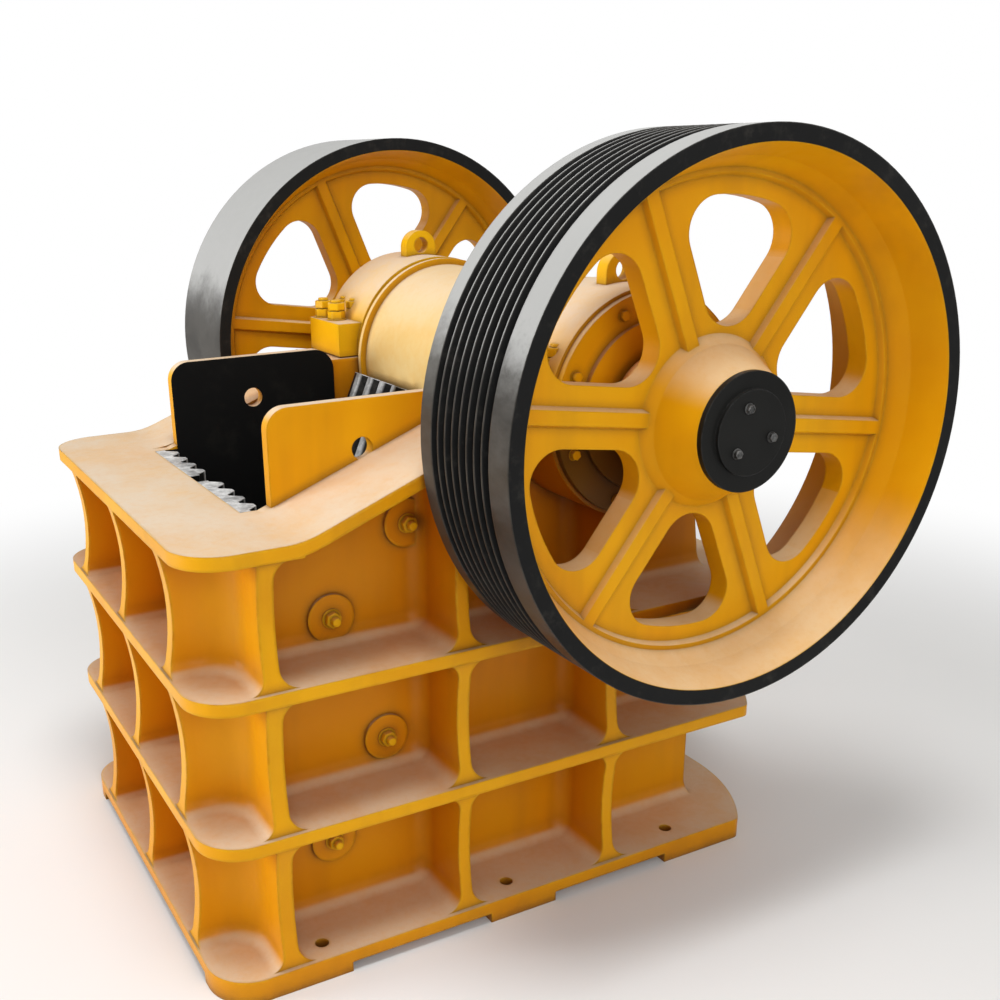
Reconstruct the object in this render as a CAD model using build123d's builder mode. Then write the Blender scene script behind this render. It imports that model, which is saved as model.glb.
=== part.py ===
from build123d import *
from math import cos, hypot, pi, radians, sin, tan
import os

# A single-toggle jaw crusher: cast frame, eccentric shaft with two flywheels, swing jaw.
# X runs along the shaft, the grooved flywheel is at +X; Y runs from the feed end (front)
# to the toggle end (rear); Z is up. The origin is on the floor, below the middle.
# Sizes named ..._y are distances behind the shaft axis, so shaft_y is added once.

# overall
shaft_height = 1121.0
front_reach = 983.0
rod_reach = 717.0
shaft_y = (front_reach - rod_reach) / 2

# frame casting
chamber_width = 600.0
chamber_front_y = -790.0
cheek_thickness = 28.0
side_wall_thickness = 37.0
flange_half_width = 545.0
flange_thickness = 28.0
deck_height = 953.0
upper_flange_height = 669.0
lower_flange_height = 362.0
base_height = 52.0
foot_height = 23.0
front_corner_radius = 99.0
rear_corner_radius = 25.0
front_wall_y = -845.0
front_rib_rear_y = -812.0
fin_thickness = 34.0
fin_x = 345.0
fin_setback = 4.0
scallop_depth = 18.0
scallop_overrun = 3.0
rib_setback = 9.0
rib_thickness = 28.0
middle_rib_y = -416.0
bearing_rib_y = -38.0
rear_wall_y = 320.0
rear_wall_thickness = 35.0
rear_flange_reach = 447.0
rear_side_y = 345.0
rear_bow_x = 286.0
rear_bow_mid_x = 450.0
rear_bow_mid_y = 407.0
pocket_corner = 40.0
pocket_floor_radius = 34.0
front_pocket_corner = 24.0
scoop_radius = 95.0
scoop_floor_radius = 30.0
core_overrun = 60.0
slope_start_y = -755.0
slope_bend_radius = 190.0
housing_seat_reach = 318.0
housing_seat_thickness = 60.0
housing_seat_outer_x = 525.0
rear_drop_y = 262.0

# feet and anchor holes
front_foot_rear_y = -700.0
middle_foot_y = -278.0
middle_foot_length = 170.0
rear_foot_front_y = 119.0
foot_width = 120.0
anchor_hole_radius = 15.0
anchor_edge_distance = 55.0
anchor_x = flange_half_width - anchor_edge_distance
anchor_y = -292.0
anchor_pitch = 454.0

# bearing housings
housing_radius = 235.0
housing_inner_x = 335.0
housing_outer_x = flange_half_width
lug_inner_x = 340.0
lug_outer_x = 525.0
lug_reach = 283.0
lug_height = 84.0
cap_clearance = 0.3
cover_radius = 228.0
cover_thickness = 16.0
cover_step_radius = 172.0
cover_step_thickness = 12.0
cover_hole_clearance = 2.0
eye_radius = 43.0
eye_hole_radius = 20.0
eye_hole_lift = 6.0
eye_thickness = 34.0
eye_height = 24.0
eye_sink = 6.0

# eccentric shaft and flywheels
throw = 10.0
journal_radius = 80.0
journal_clearance = 0.08
eccentric_radius = 105.0
wheel_seat_radius = 70.0
wheel_radius = 525.0
wheel_clearance = 2.0
wheel_width = 303.0
wheel_inner_x = housing_outer_x + cover_thickness + wheel_clearance
wheel_outer_x = wheel_inner_x + wheel_width
rim_thickness = 31.0
rim_draft = 20.0
rim_foot_offset = 74.0
web_thickness = 48.0
wheel_rib_height = 12.0
web_ring_radius = 440.0
ring_width = 15.0
hub_radius = 112.0
hub_base_radius = 148.0
hub_fillet = 17.0
hub_inner_setback = 21.0
hub_outer_setback = 30.0
hub_inner_x = wheel_inner_x + hub_inner_setback
hub_outer_x = wheel_outer_x - hub_outer_setback
shaft_overhang = 2.0
shaft_end_x = hub_outer_x + shaft_overhang
spoke_count = 6
spoke_turn = -8.0
window_outer_radius = 409.0
spoke_width = 114.0
window_inner_corner = 64.0
window_corner = 62.0
wheel_rib_width = 38.0
wheel_rib_draft = 25.0
groove_count = 8
groove_pitch = 25.5
groove_top_width = 22.5
groove_depth = 20.0
groove_angle = 36.0
groove_land = 38.0
hub_plate_thickness = 12.0
hub_plate_step_radius = 80.0
hub_plate_step = 8.0

# swing jaw
barrel_radius = 228.0
barrel_half_length = 316.0
barrel_ring_radius = 243.0
barrel_ring_width = 14.0
jaw_top_y = -284.0
jaw_top_z = 1100.0
jaw_bottom_y = -680.0
jaw_bottom_z = 170.0
jaw_side_clearance = 9.0
moving_plate_thickness = 55.0
pitman_half_width = 284.0
pitman_slab = 60.0
slab_top_gap = 20.0
pitman_rib_thickness = 36.0
pitman_rib_angle = -49.0
pitman_rib_overlap = 10.0
pitman_toe = 70.0

# wear plates
tooth_pitch = 65.0
tooth_depth = 22.0
tooth_crest = 16.0
tooth_valley = 10.0
fixed_plate_thickness = 45.0
fixed_plate_clearance = 2.0
fixed_plate_bottom = 165.0
plate_notch_width = 56.0
plate_notch_depth = 26.0
cheek_top = 1155.0
cheek_front_y = -735.0
cheek_rear_y = -319.0
cheek_split = 560.0
cheek_split_gap = 6.0
cheek_bottom = 165.0
cheek_cover = 30.0
cheek_front_corner = 44.0
cheek_rear_corner = 52.0
cheek_hole_radius = 23.0
cheek_hole_y = -535.0
cheek_hole_z = 1055.0
boss_radius = 51.0
boss_height = 8.0
boss_points = [(-639.0, 725.0), (-462.0, 899.0), (-524.0, 427.0), (-658.0, 211.0)]

# toggle, seats and tension rod
toggle_thickness = 40.0
toggle_width = 470.0
toggle_front_z = 300.0
toggle_rear_z = 430.0
toggle_running_gap = 17.0
toggle_seat_gap = 0.3
seat_length = 45.0
seat_height = 120.0
shim_height = 168.0
shim_thickness = 30.0
rod_radius = 17.0
rod_z = 205.0
rod_hole_radius = 28.0
rod_front_gap = 18.0
rod_fit = 0.3
spring_radius = 52.0
spring_wire = 9.0
spring_length = 230.0
rod_washer_thickness = 16.0
rod_washer_radius = 66.0
rod_nut_thickness = 42.0
rod_nut_radius = 34.0

# derived places
wall_inner_x = chamber_width / 2 + cheek_thickness
wall_outer_x = wall_inner_x + side_wall_thickness
front_y = shaft_y - front_reach
wall_front_y = shaft_y + front_wall_y
rear_in_y = shaft_y + rear_wall_y - rear_wall_thickness
rear_out_y = shaft_y + rear_wall_y
rear_end_y = shaft_y + rear_flange_reach
tier_floors = [base_height, lower_flange_height, upper_flange_height]
tier_tops = [lower_flange_height, upper_flange_height, deck_height]
tier_roofs = [top - flange_thickness for top in tier_tops]
fin_front_y = front_y + fin_setback
rib_edge_x = flange_half_width - rib_setback
slope_y = shaft_y + slope_start_y
seat_front_y = shaft_y - housing_seat_reach
seat_roof = shaft_height - housing_seat_thickness
slope_rise = (shaft_height - deck_height) / (seat_front_y - slope_y)
eccentric_z = shaft_height - throw
jaw_slope = (jaw_top_y - jaw_bottom_y) / (jaw_top_z - jaw_bottom_z)

os.makedirs("parts", exist_ok=True)

# cores that leave the bays between ribs and flanges, right side first, then mirrored
middle_rib_front = shaft_y + middle_rib_y - rib_thickness / 2
bay_ends = [
    (shaft_y + front_rib_rear_y, middle_rib_front),
    (middle_rib_front + rib_thickness, shaft_y + bearing_rib_y - rib_thickness / 2),
    (shaft_y + bearing_rib_y + rib_thickness / 2, rear_end_y + core_overrun),
]
with BuildPart() as bay_cores:
    for floor, roof in zip(tier_floors, tier_roofs):
        for index, (start, end) in enumerate(bay_ends):
            under_slope = roof + (end - slope_y) * slope_rise
            with BuildSketch(Plane.YZ.offset(wall_outer_x)) as bay:
                with BuildLine():
                    if roof < tier_roofs[-1]:
                        Polyline((start, floor), (end, floor), (end, roof), (start, roof), close=True)
                    elif index == 0:
                        Polyline((start, floor), (end, floor), (end, under_slope), (slope_y, roof),
                                 (start, roof), close=True)
                    else:
                        Polyline((start, floor), (end, floor), (end, seat_roof), (start, seat_roof),
                                 close=True)
                make_face()
                fillet(bay.vertices(), pocket_corner)
            extrude(amount=flange_half_width - wall_outer_x + core_overrun)
    wall_side = bay_cores.faces().filter_by(Plane.YZ).group_by(Axis.X)[0]
    fillet(wall_side.edges(), pocket_floor_radius)

with BuildPart() as front_cores:
    pocket_width = fin_x - fin_thickness
    for floor, roof in zip(tier_floors, tier_roofs):
        with BuildSketch(Plane.XZ.offset(-wall_front_y)) as pocket:
            with Locations((fin_x / 2, (floor + roof) / 2)):
                RectangleRounded(pocket_width, roof - floor, front_pocket_corner)
        extrude(amount=front_reach + front_wall_y + core_overrun)

# the corner between the last fin and the first rib is one hollow scoop to each tier
scoop_x = fin_x + fin_thickness / 2
with BuildPart() as corner_cores:
    for floor, roof in zip(tier_floors, tier_roofs):
        with BuildSketch(Plane.XY.offset(floor)) as scoop:
            with BuildLine():
                far_x = flange_half_width + core_overrun
                far_y = front_y - core_overrun
                Polyline(
                    (scoop_x + scoop_radius, wall_front_y),
                    (far_x, wall_front_y),
                    (far_x, far_y),
                    (scoop_x, far_y),
                    (scoop_x, wall_front_y - scoop_radius),
                )
                RadiusArc(
                    (scoop_x, wall_front_y - scoop_radius),
                    (scoop_x + scoop_radius, wall_front_y),
                    scoop_radius,
                )
            make_face()
        extrude(amount=roof - floor)
    scoop_floors = corner_cores.faces().filter_by(Plane.XY).filter_by(
        lambda f: min(abs(f.center().Z - floor) for floor in tier_floors) < 0.01
    )
    fillet(scoop_floors.edges(), scoop_floor_radius)

# outline that the base, both flanges and the feet share
with BuildSketch(Plane.XY) as flange_plan:
    with BuildLine():
        for side in (-1, 1):
            corner = (side * flange_half_width, shaft_y + rear_side_y)
            Polyline((0, front_y), (side * flange_half_width, front_y), corner)
            ThreePointArc(
                corner,
                (side * rear_bow_mid_x, shaft_y + rear_bow_mid_y),
                (side * rear_bow_x, rear_end_y),
            )
            Line((side * rear_bow_x, rear_end_y), (0, rear_end_y))
    make_face()
    fillet(flange_plan.vertices().group_by(Axis.Y)[0], front_corner_radius)
    fillet(
        flange_plan.vertices().filter_by(lambda v: abs(v.Y - shaft_y - rear_side_y) < 0.01),
        rear_corner_radius,
    )

# frame casting: walls, ribs and flanges in one piece
with BuildPart() as frame:
    with BuildSketch(Plane.XY.offset(foot_height)) as plan:
        with Locations((0, (fin_front_y + rear_out_y) / 2)):
            Rectangle(2 * rib_edge_x, rear_out_y - fin_front_y)
        fillet(plan.vertices().group_by(Axis.Y)[0], front_corner_radius)
    extrude(amount=shaft_height - foot_height)
    # hollow outer edges of the ribs and fins, one arc to each tier, run out inside the flanges
    for floor, roof in zip(tier_floors, tier_roofs):
        low = floor - scallop_overrun
        high = roof + scallop_overrun
        with BuildSketch(Plane.XZ) as rib_hollow:
            for side in (-1, 1):
                edge = side * rib_edge_x
                with BuildLine():
                    ThreePointArc(
                        (edge, low), (edge - side * scallop_depth, (low + high) / 2), (edge, high)
                    )
                    Line((edge, high), (edge, low))
                make_face()
        extrude(amount=front_reach, both=True, mode=Mode.SUBTRACT)
        with BuildSketch(Plane.YZ) as fin_hollow:
            with BuildLine():
                ThreePointArc(
                    (fin_front_y, low), (fin_front_y + scallop_depth, (low + high) / 2), (fin_front_y, high)
                )
                Line((fin_front_y, high), (fin_front_y, low))
            make_face()
        extrude(amount=flange_half_width, both=True, mode=Mode.SUBTRACT)
    # the top falls from the bearing seats to the feed deck and to the rear wall
    with BuildSketch(Plane.YZ) as above:
        with BuildLine():
            Polyline(
                (front_y - core_overrun, deck_height),
                (slope_y, deck_height),
                (seat_front_y, shaft_height),
                (seat_front_y, shaft_height + core_overrun),
                (front_y - core_overrun, shaft_height + core_overrun),
                close=True,
            )
        make_face()
        bend = above.vertices().filter_by(lambda v: hypot(v.Y - slope_y, v.Z - deck_height) < 0.01)
        fillet(bend, slope_bend_radius)
        with BuildLine():
            Polyline(
                (shaft_y + rear_drop_y, shaft_height),
                (rear_out_y, upper_flange_height),
                (rear_out_y + core_overrun, upper_flange_height),
                (rear_out_y + core_overrun, shaft_height + core_overrun),
                (shaft_y + rear_drop_y, shaft_height + core_overrun),
                close=True,
            )
        make_face()
    extrude(amount=flange_half_width, both=True, mode=Mode.SUBTRACT)
    for core in (bay_cores.part, front_cores.part, corner_cores.part):
        add(core, mode=Mode.SUBTRACT)
        add(core.mirror(Plane.YZ), mode=Mode.SUBTRACT)
    # flanges round the casting and the feed deck
    for top in (base_height, lower_flange_height, upper_flange_height):
        thickness = flange_thickness if top > base_height else base_height - foot_height
        with BuildSketch(Plane.XY.offset(top - thickness)) as ring:
            add(flange_plan.sketch)
        extrude(amount=thickness)
    with BuildSketch(Plane.XY.offset(deck_height - flange_thickness)) as deck:
        add(flange_plan.sketch)
        with Locations((0, (front_y + slope_y) / 2)):
            Rectangle(2 * flange_half_width, slope_y - front_y, mode=Mode.INTERSECT)
    extrude(amount=flange_thickness)
    # sloping side flanges and the flat seats of the bearing caps
    for side in (-1, 1):
        inner = wall_inner_x if side > 0 else -flange_half_width
        with BuildSketch(Plane.YZ.offset(inner)) as slope:
            with BuildLine():
                Polyline(
                    (slope_y - slope_bend_radius / 2, deck_height - flange_thickness),
                    (slope_y - slope_bend_radius / 2, deck_height),
                    (slope_y, deck_height),
                    (seat_front_y, shaft_height),
                    (seat_front_y, shaft_height - flange_thickness),
                    (slope_y, deck_height - flange_thickness),
                    close=True,
                )
            make_face()
            bends = slope.vertices().filter_by(lambda v: abs(v.X - slope_y) < 0.01).sort_by(Axis.Y)
            fillet(bends[0], slope_bend_radius + flange_thickness)
            fillet(
                slope.vertices().filter_by(lambda v: hypot(v.X - slope_y, v.Y - deck_height) < 0.01),
                slope_bend_radius,
            )
        extrude(amount=flange_half_width - wall_inner_x)
        seat_inner = wall_inner_x if side > 0 else -housing_seat_outer_x
        with BuildSketch(Plane.YZ.offset(seat_inner)) as seat:
            with Locations((shaft_y, shaft_height - housing_seat_thickness / 2)):
                Rectangle(2 * housing_seat_reach, housing_seat_thickness)
        extrude(amount=housing_seat_outer_x - wall_inner_x)
        ring_inner = housing_inner_x if side > 0 else -housing_outer_x
        with BuildSketch(Plane.YZ.offset(ring_inner)) as cradle:
            with Locations((shaft_y, shaft_height)):
                Circle(housing_radius)
            with Locations((shaft_y, shaft_height + housing_radius)):
                Rectangle(3 * housing_radius, 2 * housing_radius, mode=Mode.SUBTRACT)
        extrude(amount=housing_outer_x - housing_inner_x)
    # shaft bore through both seats
    with BuildSketch(Plane.YZ) as bore:
        with Locations((shaft_y, shaft_height)):
            Circle(journal_radius + journal_clearance)
    extrude(amount=housing_outer_x + core_overrun, both=True, mode=Mode.SUBTRACT)
    # round bosses of the cheek plate bolts
    for y, z in boss_points:
        with BuildSketch(Plane.YZ) as boss:
            with Locations((shaft_y + y, z)):
                Circle(boss_radius)
        extrude(amount=wall_outer_x + boss_height, both=True)
    # the chamber, wider behind the shoulders that the cheek plates stand against
    with BuildSketch(Plane.XY) as chamber:
        with Locations((0, (shaft_y + cheek_front_y + rear_in_y) / 2)):
            Rectangle(2 * wall_inner_x, rear_in_y - shaft_y - cheek_front_y)
        with Locations((0, (shaft_y + chamber_front_y + rear_in_y) / 2)):
            Rectangle(chamber_width, rear_in_y - shaft_y - chamber_front_y)
    extrude(amount=2 * shaft_height, mode=Mode.SUBTRACT)
    with BuildSketch(Plane.XY.offset(upper_flange_height)) as above_rear_wall:
        with Locations((0, rear_out_y)):
            Rectangle(2 * wall_inner_x, 2 * rear_wall_thickness)
    extrude(amount=shaft_height, mode=Mode.SUBTRACT)
    # way for the tension rod through the rear wall
    with BuildSketch(Plane.XZ.offset(-rear_out_y - core_overrun)) as rod_way:
        with Locations((0, rod_z)):
            Circle(rod_hole_radius)
    extrude(amount=rear_wall_thickness + 2 * core_overrun, mode=Mode.SUBTRACT)
    # feet under the base, cut to its outline, and the anchor holes through both
    with BuildSketch(Plane.XY) as feet:
        for start, end in (
            (-front_reach, front_foot_rear_y),
            (middle_foot_y - middle_foot_length / 2, middle_foot_y + middle_foot_length / 2),
            (rear_foot_front_y, rear_flange_reach),
        ):
            for side in (-1, 1):
                with Locations((side * (flange_half_width - foot_width / 2), shaft_y + (start + end) / 2)):
                    Rectangle(foot_width, end - start)
        add(flange_plan.sketch, mode=Mode.INTERSECT)
    extrude(amount=foot_height)
    with BuildSketch(Plane.XY) as anchors:
        with Locations((0, shaft_y + anchor_y)):
            with GridLocations(2 * anchor_x, anchor_pitch, 2, 3):
                Circle(anchor_hole_radius)
    extrude(amount=base_height, mode=Mode.SUBTRACT)
frame.part.label = "frame"
export_step(frame.part, "parts/frame.step")

# bearing caps with their lugs, one above each seat
for side, name in ((-1, "left"), (1, "right")):
    inner = housing_inner_x if side > 0 else -housing_outer_x
    lug_start = lug_inner_x if side > 0 else -lug_outer_x
    split = shaft_height + cap_clearance
    with BuildPart() as cap:
        with BuildSketch(Plane.YZ.offset(lug_start)) as lugs:
            with Locations((shaft_y, split + lug_height / 2)):
                Rectangle(2 * lug_reach, lug_height)
        extrude(amount=lug_outer_x - lug_inner_x)
        with BuildSketch(Plane.YZ.offset(inner)) as cap_ring:
            with Locations((shaft_y, shaft_height)):
                Circle(housing_radius)
            with Locations((shaft_y, split - 2 * housing_radius)):
                Rectangle(3 * housing_radius, 4 * housing_radius, mode=Mode.SUBTRACT)
        extrude(amount=housing_outer_x - housing_inner_x)
        with BuildSketch(Plane.YZ.offset(inner)) as cap_bore:
            with Locations((shaft_y, shaft_height)):
                Circle(journal_radius + journal_clearance)
        extrude(amount=housing_outer_x - housing_inner_x, mode=Mode.SUBTRACT)
    cap.part.label = "bearing_cap_" + name
    export_step(cap.part, "parts/bearing_cap_" + name + ".step")

# round end covers of the bearings
for side, name in ((-1, "left"), (1, "right")):
    with BuildPart() as cover:
        cover_start = housing_outer_x if side > 0 else -housing_outer_x - cover_thickness
        with BuildSketch(Plane.YZ.offset(cover_start)) as cover_disc:
            with Locations((shaft_y, shaft_height)):
                Circle(cover_radius)
        extrude(amount=cover_thickness)
        step_start = cover_start + cover_thickness if side > 0 else cover_start - cover_step_thickness
        with BuildSketch(Plane.YZ.offset(step_start)) as cover_step:
            with Locations((shaft_y, shaft_height)):
                Circle(cover_step_radius)
        extrude(amount=cover_step_thickness)
        with BuildSketch(Plane.YZ) as cover_hole:
            with Locations((shaft_y, shaft_height)):
                Circle(journal_radius + cover_hole_clearance)
        extrude(amount=wheel_outer_x, both=True, mode=Mode.SUBTRACT)
    cover.part.label = "bearing_cover_" + name
    export_step(cover.part, "parts/bearing_cover_" + name + ".step")

# lifting eyes on the caps
for side, name in ((-1, "left"), (1, "right")):
    eye_x = side * (housing_inner_x + housing_outer_x) / 2
    eye_foot = shaft_height + housing_radius - eye_sink
    with BuildPart() as eye:
        with BuildSketch(Plane.YZ.offset(eye_x - eye_thickness / 2)) as eye_shape:
            with Locations((shaft_y, eye_foot + eye_height)):
                Circle(eye_radius)
            with Locations((shaft_y, eye_foot + eye_height / 2)):
                Rectangle(2 * eye_radius, eye_height)
            with Locations((shaft_y, eye_foot + eye_height + eye_hole_lift)):
                Circle(eye_hole_radius, mode=Mode.SUBTRACT)
        extrude(amount=eye_thickness)
        with BuildSketch(Plane.YZ.offset(eye_x - eye_thickness)) as under:
            with Locations((shaft_y, shaft_height)):
                Circle(housing_radius)
        extrude(amount=2 * eye_thickness, mode=Mode.SUBTRACT)
    eye.part.label = "lifting_eye_" + name
    export_step(eye.part, "parts/lifting_eye_" + name + ".step")

# eccentric shaft
with BuildPart() as shaft:
    with BuildSketch(Plane.YZ) as wheel_seats:
        with Locations((shaft_y, shaft_height)):
            Circle(wheel_seat_radius)
    extrude(amount=shaft_end_x, both=True)
    with BuildSketch(Plane.YZ) as journals:
        with Locations((shaft_y, shaft_height)):
            Circle(journal_radius)
    extrude(amount=hub_inner_x, both=True)
    with BuildSketch(Plane.YZ) as eccentric:
        with Locations((shaft_y, eccentric_z)):
            Circle(eccentric_radius)
    extrude(amount=barrel_half_length, both=True)
shaft.part.label = "eccentric_shaft"
export_step(shaft.part, "parts/eccentric_shaft.step")

# flywheels: the grooved one takes the belts, the plain one is its pair
web_middle_x = (wheel_inner_x + wheel_outer_x) / 2
web_outer_x = web_middle_x + web_thickness / 2
web_inner_x = web_middle_x - web_thickness / 2
ring_outer_x = web_outer_x + wheel_rib_height
ring_inner_x = web_inner_x - wheel_rib_height
rim_bore = wheel_radius - rim_thickness
window_apex = spoke_width / 2 / sin(pi / spoke_count)
window_edge = pi / spoke_count - (spoke_width / 2) / window_outer_radius
for side, name in ((-1, "plain_flywheel"), (1, "grooved_flywheel")):
    with BuildPart() as wheel:
        with BuildSketch(Plane.XY) as profile:
            with BuildLine():
                Polyline(
                    (hub_inner_x, wheel_seat_radius),
                    (hub_outer_x, wheel_seat_radius),
                    (hub_outer_x, hub_radius),
                    (ring_outer_x + hub_fillet / 2, hub_base_radius),
                    (web_outer_x, hub_base_radius + hub_fillet),
                    (web_outer_x, web_ring_radius),
                    (ring_outer_x, web_ring_radius + wheel_rib_height / 2),
                    (ring_outer_x, web_ring_radius + ring_width),
                    (wheel_outer_x - rim_foot_offset, rim_bore - rim_draft),
                    (wheel_outer_x, rim_bore),
                    (wheel_outer_x, wheel_radius),
                    (wheel_inner_x, wheel_radius),
                    (wheel_inner_x, rim_bore),
                    (wheel_inner_x + rim_foot_offset, rim_bore - rim_draft),
                    (ring_inner_x, web_ring_radius + ring_width),
                    (ring_inner_x, web_ring_radius + wheel_rib_height / 2),
                    (web_inner_x, web_ring_radius),
                    (web_inner_x, hub_base_radius + hub_fillet),
                    (ring_inner_x - hub_fillet / 2, hub_base_radius),
                    (hub_inner_x, hub_radius),
                    close=True,
                )
            make_face()
            if side > 0:
                groove_bottom = groove_top_width - 2 * groove_depth * tan(radians(groove_angle / 2))
                for index in range(groove_count):
                    x = wheel_inner_x + groove_land + groove_pitch * (index + 0.5)
                    with BuildLine():
                        Polyline(
                            (x - groove_top_width / 2, wheel_radius),
                            (x - groove_bottom / 2, wheel_radius - groove_depth),
                            (x + groove_bottom / 2, wheel_radius - groove_depth),
                            (x + groove_top_width / 2, wheel_radius),
                            close=True,
                        )
                    make_face(mode=Mode.SUBTRACT)
        revolve(axis=Axis.X)
        # six rounded windows leave six spokes
        with BuildSketch(Plane.YZ.offset(web_inner_x - web_thickness)) as windows:
            for index in range(spoke_count):
                with BuildLine(mode=Mode.PRIVATE) as edge_line:
                    low = (window_outer_radius * cos(window_edge), -window_outer_radius * sin(window_edge))
                    high = (low[0], -low[1])
                    Line((window_apex, 0), low)
                    ThreePointArc(low, (window_outer_radius, 0), high)
                    Line(high, (window_apex, 0))
                with BuildSketch(mode=Mode.PRIVATE) as window:
                    add(edge_line.line)
                    make_face()
                    fillet(window.vertices().sort_by(Axis.X)[1:], window_corner)
                    fillet(window.vertices().sort_by(Axis.X)[0], window_inner_corner)
                add(window.sketch.rotate(Axis.Z, spoke_turn + (index + 0.5) * 360 / spoke_count))
        extrude(amount=3 * web_thickness, mode=Mode.SUBTRACT)
        # low drafted ribs along the spokes on both faces, level with the ring
        for origin_x, way in ((web_outer_x, 1), (web_inner_x, -1)):
            for index in range(spoke_count):
                face = Plane(origin=(origin_x, 0, 0), x_dir=(0, 1, 0), z_dir=(way, 0, 0))
                turn = way * (spoke_turn + index * 360 / spoke_count)
                with BuildSketch(face) as rib:
                    with PolarLocations(0, 1, start_angle=turn):
                        with Locations(((hub_radius + web_ring_radius + wheel_rib_height) / 2, 0)):
                            Rectangle(web_ring_radius + wheel_rib_height - hub_radius, wheel_rib_width)
                extrude(amount=wheel_rib_height, taper=wheel_rib_draft)
    placed = wheel.part if side > 0 else wheel.part.mirror(Plane.YZ)
    placed = Pos(0, shaft_y, shaft_height) * placed
    placed.label = name
    export_step(placed, "parts/" + name + ".step")

# plates that hold the wheels on the shaft
for side, name in ((-1, "left"), (1, "right")):
    with BuildPart() as plate:
        with BuildSketch(Plane.YZ.offset(hub_outer_x)) as plate_disc:
            with Locations((shaft_y, shaft_height)):
                Circle(hub_radius)
        extrude(amount=hub_plate_thickness)
        with BuildSketch(Plane.YZ.offset(hub_outer_x + hub_plate_thickness)) as plate_step:
            with Locations((shaft_y, shaft_height)):
                Circle(hub_plate_step_radius)
        extrude(amount=hub_plate_step)
        with BuildSketch(Plane.YZ.offset(hub_outer_x)) as plate_recess:
            with Locations((shaft_y, shaft_height)):
                Circle(wheel_seat_radius + journal_clearance)
        extrude(amount=shaft_end_x - hub_outer_x, mode=Mode.SUBTRACT)
    placed = plate.part if side > 0 else plate.part.mirror(Plane.YZ)
    placed.label = "hub_plate_" + name
    export_step(placed, "parts/hub_plate_" + name + ".step")

# swing jaw
jaw_run = hypot(jaw_top_y - jaw_bottom_y, jaw_top_z - jaw_bottom_z)
up_y = (jaw_top_y - jaw_bottom_y) / jaw_run
up_z = (jaw_top_z - jaw_bottom_z) / jaw_run
jaw_plane = Plane(
    origin=(0, shaft_y + jaw_bottom_y, jaw_bottom_z), x_dir=(1, 0, 0), z_dir=(0, up_y, up_z)
)


def jaw_point(along, behind):
    return (
        shaft_y + jaw_bottom_y + along * up_y + behind * up_z,
        jaw_bottom_z + along * up_z - behind * up_y,
    )


slab_front = moving_plate_thickness
slab_back = moving_plate_thickness + pitman_slab
slab_top = jaw_run - slab_top_gap
toggle_along = (toggle_front_z - jaw_bottom_z) / up_z
toggle_front_y = jaw_point(toggle_along, slab_back + pitman_toe)[0]
rib_back_y = shaft_y + (barrel_radius - pitman_rib_overlap) * cos(radians(pitman_rib_angle))
rib_back_z = eccentric_z + (barrel_radius - pitman_rib_overlap) * sin(radians(pitman_rib_angle))
with BuildPart() as pitman:
    with BuildSketch(Plane.YZ) as barrel:
        with Locations((shaft_y, eccentric_z)):
            Circle(barrel_radius)
    extrude(amount=barrel_half_length, both=True)
    for side in (-1, 1):
        ring_x = barrel_half_length - barrel_ring_width if side > 0 else -barrel_half_length
        with BuildSketch(Plane.YZ.offset(ring_x)) as barrel_ring:
            with Locations((shaft_y, eccentric_z)):
                Circle(barrel_ring_radius)
        extrude(amount=barrel_ring_width)
    # the slab behind the jaw plate
    with BuildSketch(Plane.YZ) as slab:
        with BuildLine():
            Polyline(
                jaw_point(0, slab_front),
                jaw_point(slab_top, slab_front),
                jaw_point(slab_top, slab_back + barrel_radius),
                jaw_point(jaw_run - 2 * barrel_radius, slab_back),
                jaw_point(0, slab_back),
                close=True,
            )
        make_face()
    extrude(amount=pitman_half_width, both=True)
    # ribs from the barrel down to the toggle seat
    rib_pitch = (2 * pitman_half_width - pitman_rib_thickness) / 3
    for index in range(4):
        with BuildSketch(Plane.YZ.offset(index * rib_pitch - pitman_half_width)) as web:
            with BuildLine():
                Polyline(
                    jaw_point(0, slab_front + pitman_rib_overlap),
                    jaw_point(0, slab_back + pitman_toe / 2),
                    (toggle_front_y, toggle_front_z - seat_height / 2),
                    (toggle_front_y, toggle_front_z + seat_height / 2),
                    (rib_back_y, rib_back_z),
                    (shaft_y, eccentric_z),
                    jaw_point(slab_top, slab_front + pitman_rib_overlap),
                    close=True,
                )
            make_face()
        extrude(amount=pitman_rib_thickness)
    # the beam that the toggle bears on
    with BuildSketch(Plane.YZ) as beam:
        with Locations((toggle_front_y - seat_length / 2, toggle_front_z)):
            Rectangle(seat_length, seat_height)
        with BuildLine():
            Polyline(
                (toggle_front_y - seat_length, toggle_front_z - seat_height / 2),
                (toggle_front_y - seat_length, toggle_front_z + seat_height / 2),
                jaw_point(toggle_along + seat_height / 2, slab_back - pitman_rib_overlap),
                jaw_point(toggle_along - seat_height / 2, slab_back - pitman_rib_overlap),
                close=True,
            )
        make_face()
    extrude(amount=pitman_half_width, both=True)
    with BuildSketch(Plane.YZ) as pitman_bore:
        with Locations((shaft_y, eccentric_z)):
            Circle(eccentric_radius + journal_clearance)
    extrude(amount=barrel_half_length, both=True, mode=Mode.SUBTRACT)
pitman.part.label = "pitman"
export_step(pitman.part, "parts/pitman.step")


def tooth_line(width, crest, root, back):
    count = int(width // tooth_pitch)
    points = [(-width / 2, root)]
    for index in range(count):
        left = (index - count / 2) * tooth_pitch
        middle = left + tooth_pitch / 2
        points.append((left + tooth_valley / 2, root))
        points.append((middle - tooth_crest / 2, crest))
        points.append((middle + tooth_crest / 2, crest))
        points.append((left + tooth_pitch - tooth_valley / 2, root))
    return points + [(width / 2, root), (width / 2, back), (-width / 2, back)]


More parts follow.
